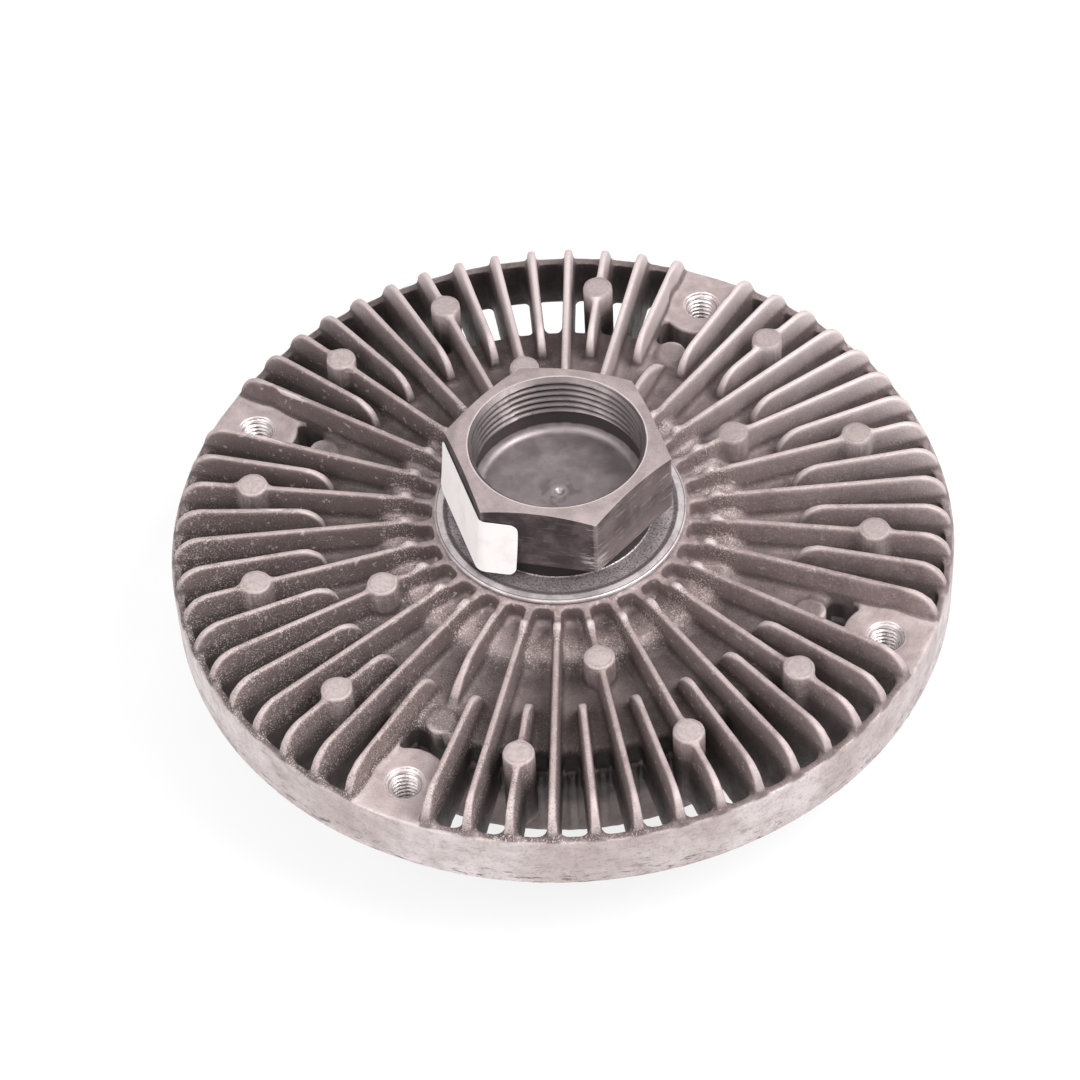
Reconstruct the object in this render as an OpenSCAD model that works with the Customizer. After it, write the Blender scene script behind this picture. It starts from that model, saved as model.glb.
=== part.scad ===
// Viscous fan clutch: a finned drum that carries the fan, driven through silicone fluid by a rotor on the
// nut shaft. It lies on its front fins with the drive nut upward. Millimetres, axis on Z, lowest point at z = 0.

/* [Rim and bolt pads] */

// Outer diameter of the rim
rim_d = 144; // [136:1:160]
// Radial thickness of the rim
rim_t = 1.7; // [1.4:0.1:2.4]
// Bevel along the rim's lower inner edge
rim_bevel = 1; // [0.4:0.1:1.2]
// Height of the rim band
rim_h = 11.5; // [8:0.5:13]
// Bolt circle diameter of the fan screws
bolt_pcd = 128; // [122:0.5:130]
// Tapped hole diameter in the pads
bolt_hole_d = 5; // [4:0.1:6]
// Countersink diameter at the tapped holes
bolt_sink_d = 7.2; // [6.5:0.1:8]
// Pad radius around each tapped hole
pad_r = 7.8; // [6:0.1:8.5]
// Spot face diameter, which scallops the fins beside each pad
spot_d = 12.6; // [11.6:0.1:13]
// Depth of the spot face
spot_h = 0.15; // [0.05:0.05:0.4]

/* [Rear fins] */

// Height of the fins above the rim
fin_rise = 6.2; // [4:0.1:9]
// Fin thickness just under its top edge
fin_top_t = 1.3; // [1:0.1:1.8]
// Fin thickness at its root
fin_root_t = 2.1; // [1.8:0.1:2.6]
// Bevel along the top edge of the fins
fin_bevel = 0.35; // [0.1:0.05:0.45]
// Radius of the outer top corner of each fin
fin_corner_r = 6; // [3:0.1:6.5]
// Radius at which the short fins begin
short_fin_r = 43.5; // [38:0.1:48]
// Radius of the inner top corner of the short fins
short_corner_r = 5.5; // [3:0.1:6]
// Height left between the fin feet and the rim's front face
fin_foot = 1; // [0.5:0.1:2]
// Step down of the long fins beside the collar
fin_step = 0.8; // [0.2:0.1:1.5]
// Radius at which the long fins reach full height
fin_step_r = 27.4; // [26:0.1:30]
// Radius of the ring of beads on the long fins
bead_ring_r = 28.7; // [28:0.1:31]
// Length of each bead along its fin
bead_l = 2.6; // [1.6:0.1:4]
// Rise of the beads above the fins
bead_h = 0.6; // [0.2:0.1:1]
// Radius at which the stubs on two pad lines begin to fall
stub_r = 34; // [31:0.5:38]
// Length over which the stubs fall to the floor
stub_l = 12; // [8:0.5:13]
// Diameter of the ejector bosses
boss_d = 5.7; // [4:0.1:7]
// Rise of the ejector bosses above the fins
boss_rise = 0.35; // [0.1:0.05:1]
// Radius of the outer boss circle
boss_outer_r = 57.4; // [55.5:0.1:61]
// Radius of the inner boss circle
boss_inner_r = 36.6; // [34:0.1:40]

/* [Drum] */

// Outer diameter of the drum
drum_d = 103.6; // [98:0.2:108]
// Drum wall beside the cover seat
drum_wall = 2.7; // [2:0.1:3.5]
// Width of the step that the separator plate rests on
seat_step = 1.9; // [1.2:0.1:2.4]
// Thickness of the drum floor
floor_t = 7.1; // [6:0.1:9]
// Drop from the rim's top to the drum floor
floor_drop = 0.2; // [0:0.1:2]
// Height of the rolled lip under the cover
lip_h = 2; // [1.2:0.1:3]
// Width of the rolled lip under the cover
lip_w = 1.8; // [1:0.1:2.5]
// Thickness of the ribs on the drum's outer wall
rib_t = 1.5; // [1:0.1:1.8]
// Depth of the ribs on the drum's outer wall
rib_w = 1; // [0.5:0.1:1.5]
// Drop from the drum floor to the top of the ribs
rib_drop = 5; // [3:0.5:9]
// Radius of the raised ring around the collar
ridge_r = 32.2; // [31:0.1:34]
// Height of the raised ring's edge above the floor
ridge_h = 2.2; // [1.8:0.1:3.5]
// Height of the raised ring beside the collar
ridge_in_h = 1.6; // [1:0.1:1.8]
// Width of the raised ring's sloping side
ridge_slope = 2.6; // [1:0.1:3]

/* [Bearing] */

// Outer diameter of the bearing
bearing_d = 40; // [38:1:42]
// Bore of the bearing
bearing_bore = 17; // [15:1:18]
// Width of the bearing
bearing_w = 16; // [14:0.5:18]
// Ball diameter
ball_d = 6.75; // [6:0.05:7]
// Number of balls
ball_count = 8; // [6:1:8]
// Clearance between balls and races
ball_fit = 0.05; // [0.02:0.01:0.1]
// Thickness of the bearing seals
seal_t = 0.8; // [0.5:0.1:1]
// Thickness of the cage halves
cage_t = 0.6; // [0.4:0.1:0.8]
// Wall of the collar around the bearing
collar_wall = 3.7; // [3:0.1:4.5]
// Height of the lip staked over the outer race
stake_h = 1.8; // [0.5:0.1:2.5]
// Thickness of the shoulder under the outer race
shoulder_t = 1; // [0.8:0.1:2]

/* [Drive nut and shaft] */

// Hexagon width across flats
hex_af = 36; // [34:0.5:40]
// Height of the hexagon
hex_h = 13.6; // [12:0.1:18]
// Rest angle of a hexagon corner
hex_angle = 14.3; // [0:0.1:60]
// Bore of the nut thread
thread_d = 30.4; // [28:0.1:31]
// Length of the nut thread
thread_l = 8.3; // [6:0.1:9]
// Diameter of the relief under the thread
relief_d = 31.6; // [31.2:0.1:32.4]
// Bevel around the floor of the nut's socket
socket_bevel = 1.8; // [0.7:0.1:2.2]
// Thickness of the dust shield
shield_t = 0.8; // [0.6:0.1:1.2]
// Height of the neck between shield and hexagon
neck_h = 3.7; // [2.2:0.1:5]
// Neck diameter below the hexagon
neck_d = 34.4; // [33:0.1:35]
// Diameter of the rotor seat on the shaft
rotor_seat_d = 15; // [12:0.5:15]

/* [Rotor] */

// Thickness of the rotor web
web_t = 2.4; // [2:0.1:4]
// Height of the rotor lands
land_h = 6; // [3:0.1:7]
// Thickness of each land
land_t = 1.4; // [1:0.1:1.6]
// Diameter of the holes in the rotor web
web_hole_d = 5; // [3:0.5:6]
// Number of rotor lands
land_count = 4; // [2:1:4]
// Running gap around the rotor
rotor_gap = 0.5; // [0.3:0.05:0.8]

/* [Front cover and valve] */

// Depth of the cover fins below the cover's face
front_fin_h = 6; // [5:0.1:9]
// Number of cover fins
front_fin_count = 24; // [16:2:28]
// Draw of the cover fins at their tips
front_fin_draw = 6; // [2:0.5:7]
// Room between the bimetal strip's ends and the cover fins
strip_room = 6; // [4.5:0.5:7]
// Thickness of the cover fins
front_fin_t = 2; // [1.4:0.1:2.6]
// Thickness of the reservoir floor
cover_t = 3; // [2:0.1:4]
// Depth of the reservoir
reservoir_h = 7; // [6:0.1:10]
// Radius of the reservoir
reservoir_r = 33; // [28:0.5:34]
// Thickness of the cover flange
flange_t = 4; // [3.4:0.1:5]
// Section diameter of the cover's O-ring
oring_d = 1.8; // [1.4:0.1:2]
// Thickness of the separator plate
plate_t = 1; // [0.6:0.1:1.5]
// Thickness of the valve leaf
leaf_t = 0.4; // [0.2:0.1:0.6]
// Width of the valve leaf
leaf_w = 6; // [4:0.5:7]
// Distance of the valve port from the axis
port_x = 16; // [12:0.5:20]
// Port diameter
port_d = 5; // [3:0.1:6]
// Diameter of the actuator pin
pin_d = 4; // [3:0.1:5]
// Length of the bimetal strip
strip_l = 38; // [32:0.5:40]
// Width of the bimetal strip
strip_w = 13; // [8:0.5:14]
// Thickness of the bimetal strip
strip_t = 1; // [0.6:0.1:1.2]
// Bow of the bimetal strip at rest
strip_bow = 1; // [0.6:0.1:1.2]
// Diameter of the fill plug
plug_d = 5; // [3:0.1:6]

/* [Fits] */

// Radial play of the actuator pin in its bore
pin_fit = 0.05; // [0.02:0.01:0.1]
// Radial play of the cover in the drum
cover_fit = 0.1; // [0.05:0.01:0.2]
// Gap between the dust shield and the collar
shield_gap = 0.3; // [0.2:0.05:0.6]
// Play of seals and the strip in their grooves
slack = 0.05; // [0.02:0.01:0.1]

/* [Hidden] */
$fn = 96;
eps = 0.01;

// Levels from the table upward
strip_low_z = 1.8;
face_z = front_fin_h;
reservoir_z = face_z + cover_t;
cover_top_z = reservoir_z + reservoir_h;
flange_z = cover_top_z - flange_t;
lip_z = flange_z - lip_h;
plate_top_z = cover_top_z + plate_t;
rotor_z = plate_top_z + rotor_gap;
web_top_z = rotor_z + web_t;
roof_z = web_top_z + land_h + rotor_gap;
floor_z = roof_z + floor_t;
rim_top_z = floor_z + floor_drop;
rim_z = rim_top_z - rim_h;
foot_z = rim_z + fin_foot;
fin_top_z = rim_top_z + fin_rise;
shoulder_z = web_top_z + rotor_gap;
bearing_z = shoulder_z + shoulder_t;
bearing_top_z = bearing_z + bearing_w;
ball_z = bearing_z + bearing_w / 2;
collar_z = bearing_top_z + stake_h;
shield_z = collar_z + shield_gap;
shield_top_z = shield_z + shield_t;
hex_z = shield_top_z + neck_h;
hex_top_z = hex_z + hex_h;

// Radii
rim_r = rim_d / 2;
bolt_r = bolt_pcd / 2;
drum_r = drum_d / 2;
seat_r = drum_r - drum_wall;
cover_r = seat_r - cover_fit;
chamber_r = seat_r - seat_step;
lip_r = seat_r - lip_w;
rotor_r = chamber_r - rotor_gap;
land_pitch = 2 * (land_t + rotor_gap);
bearing_r = bearing_d / 2;
bore_r = bearing_bore / 2;
pitch_r = (bearing_r + bore_r) / 2;
ball_r = ball_d / 2;
groove_r = ball_r + ball_fit;
inner_land_r = pitch_r - 0.75 * ball_r;
outer_land_r = pitch_r + 0.75 * ball_r;
collar_r = bearing_r + collar_wall;
shield_r = collar_r - 2 * shield_gap;
hub_r = bore_r + 2.2;
neck_r = min(neck_d, hex_af - 0.6) / 2;
seat_spigot_r = hub_r + 2;
hex_corner_r = hex_af / sqrt(3);
mouth_r = relief_d / 2 + 0.3;
pin_r = pin_d / 2;
strip_r = (strip_l * strip_l / 4 + strip_bow * strip_bow) / (2 * strip_bow);
strip_top_z = strip_low_z + strip_bow + strip_t;
pin_groove_h = 1.4;
pin_oring_r = (pin_groove_h - 2 * slack) / 2;

// Fin positions every 6 degrees: long fins on odd steps, short ones on even steps, pads in place of four
fin_step_deg = 6;
long_fins = [for (i = [0:29]) if (i % 15 != 7) fin_step_deg * (2 * i + 1)];
short_fins = [for (i = [0:29]) if (i % 15 != 0) fin_step_deg * 2 * i];
pad_angles = [0, 90, 180, 270];
rib_angles = [for (i = [0:59]) fin_step_deg * (i + 0.5)];
outer_boss_angles = [18, 42, 72, 108, 138, 162];
inner_boss_angles = [54, 126];

// A flat ring between two radii
module ring(r_in, r_out, z, h) {
    translate([0, 0, z])
        difference() {
            cylinder(r = r_out, h = h);
            translate([0, 0, -1])
                cylinder(r = r_in, h = h + 2);
        }
}

// Cuts a rounded corner of radius r, filled toward the lower left
module corner_cut(r) {
    difference() {
        square(r + 3);
        circle(r);
    }
}

// Sweeps a side outline into a wall with draft and a bevelled top edge
module drafted_wall() {
    kink_z = floor_z - 0.5;
    bevel_z = fin_top_z - 1.4 * fin_bevel;
    crest = fin_top_t / 2 - fin_bevel;
    intersection() {
        rotate([90, 0, 0])
            linear_extrude(height = 2 * fin_root_t, center = true)
                children();
        rotate([90, 0, 90])
            linear_extrude(height = rim_r)
                for (side = [0, 1])
                    mirror([side, 0])
                        polygon([[-eps, foot_z], [fin_root_t / 2, foot_z], [fin_root_t / 2, kink_z],
                                 [fin_top_t / 2, bevel_z], [crest, fin_top_z], [-eps, fin_top_z]]);
    }
}

// Side outline of a fin over the floor and across the open gap to the rim
module fin_outline(r_start) {
    r_end = rim_r - rim_t / 3;
    difference() {
        union() {
            translate([r_start, floor_z - 1])
                square([r_end - r_start, fin_top_z - floor_z + 1]);
            translate([drum_r - 1, foot_z])
                square([r_end - drum_r + 1, floor_z - foot_z]);
        }
        translate([r_end - fin_corner_r, fin_top_z - fin_corner_r])
            corner_cut(fin_corner_r);
    }
}

module long_fin() {
    drafted_wall()
        difference() {
            fin_outline(collar_r - 0.3);
            translate([0, fin_top_z - fin_step])
                square([fin_step_r, fin_step + 1]);
        }
    crest_bead();
}

// Bead across a long fin's top edge, the rounded end of its step
module crest_bead() {
    bead_arc_r = (bead_l * bead_l / 4 + bead_h * bead_h) / (2 * bead_h);
    translate([bead_ring_r, 0, fin_top_z + bead_h - bead_arc_r])
        rotate([90, 0, 0])
            cylinder(r = bead_arc_r, h = fin_top_t + 0.2, center = true);
}

module short_fin() {
    drafted_wall()
        difference() {
            fin_outline(short_fin_r);
            translate([short_fin_r + short_corner_r, fin_top_z - short_corner_r])
                mirror([1, 0])
                    corner_cut(short_corner_r);
        }
}

// Inner stub on two of the pad lines, falling in a blade-like curve to the floor
module stub_fin() {
    stub_h = fin_top_z - floor_z;
    arc_r = (stub_l * stub_l + stub_h * stub_h) / (2 * stub_h);
    drafted_wall()
        difference() {
            translate([collar_r - 0.3, floor_z - 1])
                square([stub_r + stub_l - collar_r, stub_h + 1]);
            difference() {
                translate([stub_r, floor_z - 2])
                    square([stub_l + 1, stub_h + 3]);
                translate([stub_r, fin_top_z - arc_r])
                    circle(arc_r, $fn = 360);
            }
            translate([0, fin_top_z - fin_step])
                square([fin_step_r, fin_step + 1]);
        }
}

// Pad between two fins around a tapped hole
module pad() {
    translate([0, 0, rim_z])
        linear_extrude(height = rim_h)
            intersection() {
                circle(rim_r - rim_t / 5);
                polygon([[0, 0], [rim_r, -rim_r * tan(fin_step_deg)], [rim_r, rim_r * tan(fin_step_deg)]]);
                union() {
                    translate([bolt_r, 0])
                        circle(pad_r);
                    translate([bolt_r, -pad_r])
                        square([rim_r - bolt_r, 2 * pad_r]);
                }
            }
}

// Rim band, bevelled along its lower inner edge
module rim() {
    rim_in_r = rim_r - rim_t;
    rotate_extrude()
        polygon([[rim_in_r + rim_bevel, rim_z], [rim_r, rim_z], [rim_r, rim_top_z], [rim_in_r, rim_top_z],
                 [rim_in_r, rim_z + 1.1 * rim_bevel]]);
}

// Rib on the drum's outer wall, halfway between two fins
module drum_rib() {
    rib_top_z = floor_z - rib_drop;
    rib_low_z = lip_z + 1.5;
    rotate([90, 0, 0])
        linear_extrude(height = rib_t, center = true)
            polygon([[drum_r - 1, rib_low_z], [drum_r + 0.1, rib_low_z], [drum_r + rib_w, rib_low_z + rib_w],
                     [drum_r + rib_w, rib_top_z - rib_w], [drum_r + 0.1, rib_top_z], [drum_r - 1, rib_top_z]]);
}

module pad_hole() {
    sink_h = (bolt_sink_d - bolt_hole_d) / 2;
    translate([bolt_r, 0, rim_z - 1])
        cylinder(d = bolt_hole_d, h = rim_h + 2);
    translate([bolt_r, 0, rim_top_z - spot_h - sink_h])
        cylinder(d1 = bolt_hole_d, d2 = bolt_sink_d, h = sink_h);
    translate([bolt_r, 0, rim_top_z - spot_h])
        cylinder(d = spot_d, h = fin_rise + boss_rise + 1);
}

// Turned section of the drum, collar and raised ring
module drum_outline() {
    edge = 0.9;
    collar_edge = 0.5;
    difference() {
        union() {
            translate([0, lip_z])
                square([drum_r, floor_z - lip_z]);
            translate([0, shoulder_z])
                square([collar_r, collar_z - shoulder_z]);
            polygon([[collar_r - 1, floor_z - 1], [ridge_r + ridge_slope, floor_z - 1],
                     [ridge_r + ridge_slope, floor_z], [ridge_r, floor_z + ridge_h - 0.3],
                     [ridge_r - 0.5, floor_z + ridge_h], [ridge_r - 3, floor_z + ridge_h],
                     [collar_r + 1.2, floor_z + ridge_in_h], [collar_r, floor_z + ridge_in_h + 0.8],
                     [collar_r - 1, floor_z + ridge_in_h + 0.8]]);
        }
        translate([drum_r - edge, floor_z - edge])
            corner_cut(edge);
        translate([collar_r - collar_edge, collar_z - collar_edge])
            corner_cut(collar_edge);
        translate([drum_r - edge, lip_z + edge])
            mirror([0, 1])
                corner_cut(edge);
        drum_hollow();
    }
}

// Bearing seat, working chamber with its lands, and the cover seat
module drum_hollow() {
    translate([-1, shoulder_z - 1])
        square([bearing_r - 2.4 + 1, collar_z - shoulder_z + 2]);
    translate([-1, bearing_z])
        square([bearing_r + 1, bearing_w]);
    translate([-1, bearing_top_z - eps])
        square([bearing_r - 0.9 + 1, stake_h + 1]);
    translate([-1, lip_z - 1])
        square([lip_r + 1, shoulder_z - lip_z + 1]);
    translate([-1, flange_z])
        square([seat_r + 1, flange_t + plate_t]);
    difference() {
        translate([collar_r, lip_z])
            square([chamber_r - collar_r, roof_z - lip_z]);
        for (i = [0:land_count - 1])
            translate([rotor_r - land_t - rotor_gap - land_t - i * land_pitch, shoulder_z])
                square([land_t, roof_z]);
    }
}

module rear_housing() {
    color([0.62, 0.59, 0.57])
        difference() {
            union() {
                rotate_extrude()
                    drum_outline();
                rim();
                for (a = rib_angles)
                    rotate([0, 0, a])
                        drum_rib();
                for (a = long_fins)
                    rotate([0, 0, a])
                        long_fin();
                for (a = short_fins)
                    rotate([0, 0, a])
                        short_fin();
                for (a = [90, 270])
                    rotate([0, 0, a])
                        stub_fin();
                for (a = pad_angles)
                    rotate([0, 0, a]) {
                        pad();
                        translate([drum_r - boss_d / 2 + 0.6, 0, floor_z - 4])
                            cylinder(d = boss_d, h = 4.7);
                    }
                for (side = [-1, 1]) {
                    for (a = outer_boss_angles)
                        rotate([0, 0, side * a])
                            translate([boss_outer_r, 0, foot_z])
                                cylinder(d = boss_d, h = fin_top_z + boss_rise - foot_z);
                    for (a = inner_boss_angles)
                        rotate([0, 0, side * a])
                            translate([boss_inner_r, 0, floor_z - 1])
                                cylinder(d = boss_d, h = fin_top_z + boss_rise - floor_z + 1);
                }
            }
            for (a = pad_angles)
                rotate([0, 0, a])
                    pad_hole();
        }
}

// Side outline of a cover fin, drawn in at the tip
module front_fin_outline() {
    fin_in_r = strip_l / 2 + strip_room;
    fin_out_r = lip_r - 1;
    polygon([[fin_in_r + 1.5, 0], [fin_out_r - front_fin_draw + 1, 0], [fin_out_r, flange_z - lip_h],
             [fin_out_r, flange_z + 1],
             [reservoir_r + 2, flange_z + 1], [reservoir_r + 2, face_z + 1], [fin_in_r, face_z + 1],
             [fin_in_r, 1.5]]);
}

// Claw that holds one end of the bimetal strip
module claw() {
    grip = 4;
    back = 3;
    end_x = strip_l / 2;
    difference() {
        translate([end_x - grip, -strip_w / 2 - 1.5, strip_low_z - 1.2])
            cube([grip + back, strip_w + 3, face_z + 1 - strip_low_z + 1.2]);
        translate([end_x - grip - 1, -strip_w / 2 - slack, strip_low_z - slack])
            cube([grip + 1 + slack, strip_w + 2 * slack, strip_t + strip_bow * 0.5]);
    }
}

module front_cover() {
    guide_r = pin_r + 3;
    guide_h = cover_t + 3;
    color([0.64, 0.61, 0.59])
        difference() {
            union() {
                translate([0, 0, flange_z])
                    cylinder(r = cover_r, h = flange_t);
                translate([0, 0, face_z])
                    cylinder(r = reservoir_r + 3, h = cover_top_z - face_z);
                for (i = [0:front_fin_count - 1])
                    rotate([0, 0, (i + 0.5) * 360 / front_fin_count])
                        rotate([90, 0, 0])
                            linear_extrude(height = front_fin_t, center = true)
                                front_fin_outline();
                for (a = [0, 180])
                    rotate([0, 0, a])
                        claw();
            }
            difference() {
                translate([0, 0, reservoir_z])
                    cylinder(r = reservoir_r, h = reservoir_h + 1);
                translate([0, 0, face_z])
                    cylinder(r = guide_r, h = guide_h);
            }
            // Return channel from the plate's outer hole to the reservoir
            rotate([0, 0, 60])
                translate([reservoir_r - 1, -1.5, cover_top_z - 2])
                    cube([return_r() + 1.5 - reservoir_r + 1, 3, 3]);
            cover_groove();
            translate([0, 0, face_z - 1])
                cylinder(r = pin_r + pin_fit, h = guide_h + 2);
            translate([0, 0, reservoir_z])
                cylinder(r = pin_r + 2 * pin_oring_r + 2 * slack, h = pin_groove_h);
            plug_place()
                translate([0, 0, face_z - 1])
                    cylinder(d = plug_d, h = cover_t + 2);
        }
}

function return_r() = chamber_r - 3;

// Groove for the cover's O-ring
module cover_groove() {
    ring(cover_r - oring_d + cover_fit - slack, cover_r + 1, flange_z + (flange_t - oring_d) / 2 - slack,
         oring_d + 2 * slack);
}

module cover_seal() {
    color([0.06, 0.06, 0.06])
        translate([0, 0, flange_z + flange_t / 2])
            rotate_extrude()
                translate([seat_r - oring_d / 2 - slack / 2, 0])
                    circle(d = oring_d);
}

module pin_seal() {
    color([0.06, 0.06, 0.06])
        translate([0, 0, reservoir_z + pin_groove_h / 2])
            rotate_extrude()
                translate([pin_r + pin_oring_r + slack, 0])
                    circle(r = pin_oring_r);
}

module plug_place() {
    rotate([0, 0, 90])
        translate([strip_w / 2 + 2.5 + plug_d / 2 + 2, 0, 0])
            children();
}

module fill_plug() {
    color([0.7, 0.7, 0.68])
        plug_place()
            translate([0, 0, face_z - 0.4])
                cylinder(d = plug_d, h = cover_t + 0.4);
}

module separator_plate() {
    color([0.55, 0.56, 0.57])
        difference() {
            translate([0, 0, cover_top_z])
                cylinder(r = cover_r, h = plate_t);
            translate([port_x, 0, cover_top_z - 1])
                cylinder(d = port_d, h = plate_t + 2);
            translate([-port_x, 0, cover_top_z - 1])
                cylinder(d = rivet_d(), h = plate_t + 2);
            rotate([0, 0, 60])
                translate([return_r(), 0, cover_top_z - 1])
                    cylinder(d = 3, h = plate_t + 2);
        }
}

function rivet_d() = 2.8;

module valve_leaf() {
    color([0.5, 0.52, 0.56])
        difference() {
            translate([0, 0, cover_top_z - leaf_t])
                linear_extrude(height = leaf_t)
                    union() {
                        translate([-port_x, -leaf_w / 2])
                            square([2 * port_x, leaf_w]);
                        translate([-port_x, 0])
                            circle(d = leaf_w + 1.2);
                        translate([port_x, 0])
                            circle(d = port_d + 3);
                    }
            translate([-port_x, 0, cover_top_z - leaf_t - 1])
                cylinder(d = rivet_d(), h = leaf_t + 2);
        }
}

module valve_rivet() {
    color([0.68, 0.66, 0.6])
        translate([-port_x, 0, 0]) {
            translate([0, 0, cover_top_z - leaf_t])
                cylinder(d = rivet_d(), h = leaf_t + plate_t);
            translate([0, 0, cover_top_z - leaf_t - 0.8])
                cylinder(d = rivet_d() + 2, h = 0.8);
        }
}

module bimetal_strip() {
    color([0.72, 0.66, 0.55])
        rotate([90, 0, 0])
            linear_extrude(height = strip_w, center = true)
                intersection() {
                    translate([0, strip_top_z - strip_r - strip_t])
                        difference() {
                            circle(r = strip_r + strip_t, $fn = 360);
                            circle(r = strip_r, $fn = 360);
                        }
                    translate([-strip_l / 2, strip_low_z])
                        square([strip_l, strip_t + strip_bow + 1]);
                }
}

module valve_pin() {
    color([0.78, 0.78, 0.76])
        translate([0, 0, strip_top_z + slack / 2])
            cylinder(r = pin_r, h = cover_top_z - leaf_t - strip_top_z - slack);
}

// Race section with its ball groove and the seal seats at both ends
module race(r_in, r_out, r_seal, outward) {
    rotate_extrude()
        difference() {
            translate([r_in, bearing_z])
                square([r_out - r_in, bearing_w]);
            translate([pitch_r, ball_z])
                circle(groove_r);
            for (z = [bearing_z - 1, bearing_top_z - seal_t - 0.5])
                translate([outward ? r_in - 1 : r_seal, z])
                    square([outward ? r_seal - r_in + 1 : r_out - r_seal + 1, seal_t + 1.5]);
        }
}

function seal_r() = outer_land_r + 0.6;

module bearing_outer_race() {
    color([0.75, 0.76, 0.77])
        race(outer_land_r, bearing_r, seal_r(), true);
}

module bearing_inner_race() {
    color([0.75, 0.76, 0.77])
        race(bore_r, inner_land_r, inner_land_r, false);
}

module bearing_seal(z) {
    color([0.1, 0.1, 0.1])
        ring(inner_land_r + 2 * slack, seal_r(), z, seal_t);
}

module bearing_seal_rear() {
    bearing_seal(bearing_top_z - 0.5 - seal_t);
}

module bearing_seal_front() {
    bearing_seal(bearing_z + 0.5);
}

// Children once at each ball
module at_balls(half_step = 0) {
    for (i = [0:ball_count - 1])
        rotate([0, 0, (i + half_step) * 360 / ball_count])
            translate([pitch_r, 0, ball_z])
                children();
}

module bearing_balls() {
    color([0.85, 0.86, 0.87])
        at_balls()
            sphere(r = ball_r);
}

// Pressed cage half over the balls, with flats between them for the rivets
module cage_half() {
    pocket_r = ball_r + ball_fit;
    difference() {
        intersection() {
            union() {
                ring(pitch_r - cage_w() / 2, pitch_r + cage_w() / 2, ball_z, cage_t);
                at_balls()
                    rotate([0, 0, 30])
                        sphere(r = pocket_r + cage_t);
            }
            ring(pitch_r - cage_w() / 2, pitch_r + cage_w() / 2, ball_z, ball_d);
        }
        at_balls()
            rotate([0, 0, 50])
                sphere(r = pocket_r);
        at_balls(0.5)
            cylinder(d = 1, h = ball_r, center = true);
    }
}

function cage_w() = 2.4;

module cage_half_rear() {
    color([0.6, 0.58, 0.5])
        cage_half();
}

module cage_half_front() {
    color([0.6, 0.58, 0.5])
        translate([0, 0, 2 * ball_z])
            rotate([180, 0, 0])
                cage_half();
}

module cage_rivets() {
    color([0.66, 0.64, 0.6])
        at_balls(0.5) {
            cylinder(d = 1, h = 2 * cage_t, center = true);
            for (side = [-1, 1])
                translate([0, 0, side * (cage_t + 0.15)])
                    cylinder(d = 1.6, h = 0.3, center = true);
        }
}

// Turned outline of the nut, neck and journal without the hexagon's flats
module shaft_outline() {
    chamfer_r = hex_af / 2 - 0.1;
    blank_r = hex_corner_r + 1;
    chamfer_h = (blank_r - chamfer_r) * tan(24);
    polygon([[0, rotor_z + 0.1], [rotor_seat_d / 2 + 1, rotor_z + 0.1], [rotor_seat_d / 2 + 1, rotor_z + 1],
             [rotor_seat_d / 2, rotor_z + 1], [rotor_seat_d / 2, bearing_z], [bore_r, bearing_z],
             [bore_r, bearing_top_z], [hub_r, bearing_top_z], [hub_r, shield_z], [seat_spigot_r, shield_z],
             [seat_spigot_r, shield_top_z], [neck_r, shield_top_z], [neck_r, hex_z],
             [blank_r, hex_z], [blank_r, hex_top_z - chamfer_h], [chamfer_r, hex_top_z],
             [0, hex_top_z]]);
}

module nut_socket() {
    socket_z = hex_z + 0.2;
    mouth_h = mouth_r - thread_d / 2;
    translate([0, 0, socket_z])
        cylinder(r1 = relief_d / 2 - socket_bevel, r2 = relief_d / 2, h = socket_bevel);
    translate([0, 0, socket_z + socket_bevel])
        cylinder(d = relief_d, h = hex_top_z - thread_l - socket_z - socket_bevel);
    translate([0, 0, socket_z + socket_bevel])
        cylinder(d = thread_d, h = hex_h + 1);
    translate([0, 0, hex_top_z - mouth_h])
        cylinder(r1 = thread_d / 2, r2 = mouth_r, h = mouth_h);
    translate([0, 0, socket_z - 0.6])
        cylinder(r1 = 0.4, r2 = 1.2, h = 0.7);
}

module drive_shaft() {
    color([0.42, 0.4, 0.39])
        difference() {
            intersection() {
                rotate_extrude()
                    shaft_outline();
                rotate([0, 0, hex_angle])
                    cylinder(r = hex_corner_r, h = hex_top_z + 1, $fn = 6);
            }
            nut_socket();
        }
}

module dust_shield() {
    lip = 0.25;
    band = 1.6;
    dish = 0.3;
    color([0.58, 0.57, 0.55])
        rotate_extrude()
            polygon([[seat_spigot_r, shield_z], [shield_r, shield_z], [shield_r, shield_top_z - lip],
                     [shield_r - lip, shield_top_z], [shield_r - band, shield_top_z],
                     [shield_r - 1.5 * band, shield_top_z - dish], [neck_r, shield_top_z - dish],
                     [neck_r - 0.3, shield_top_z], [seat_spigot_r, shield_top_z]]);
}

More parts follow.
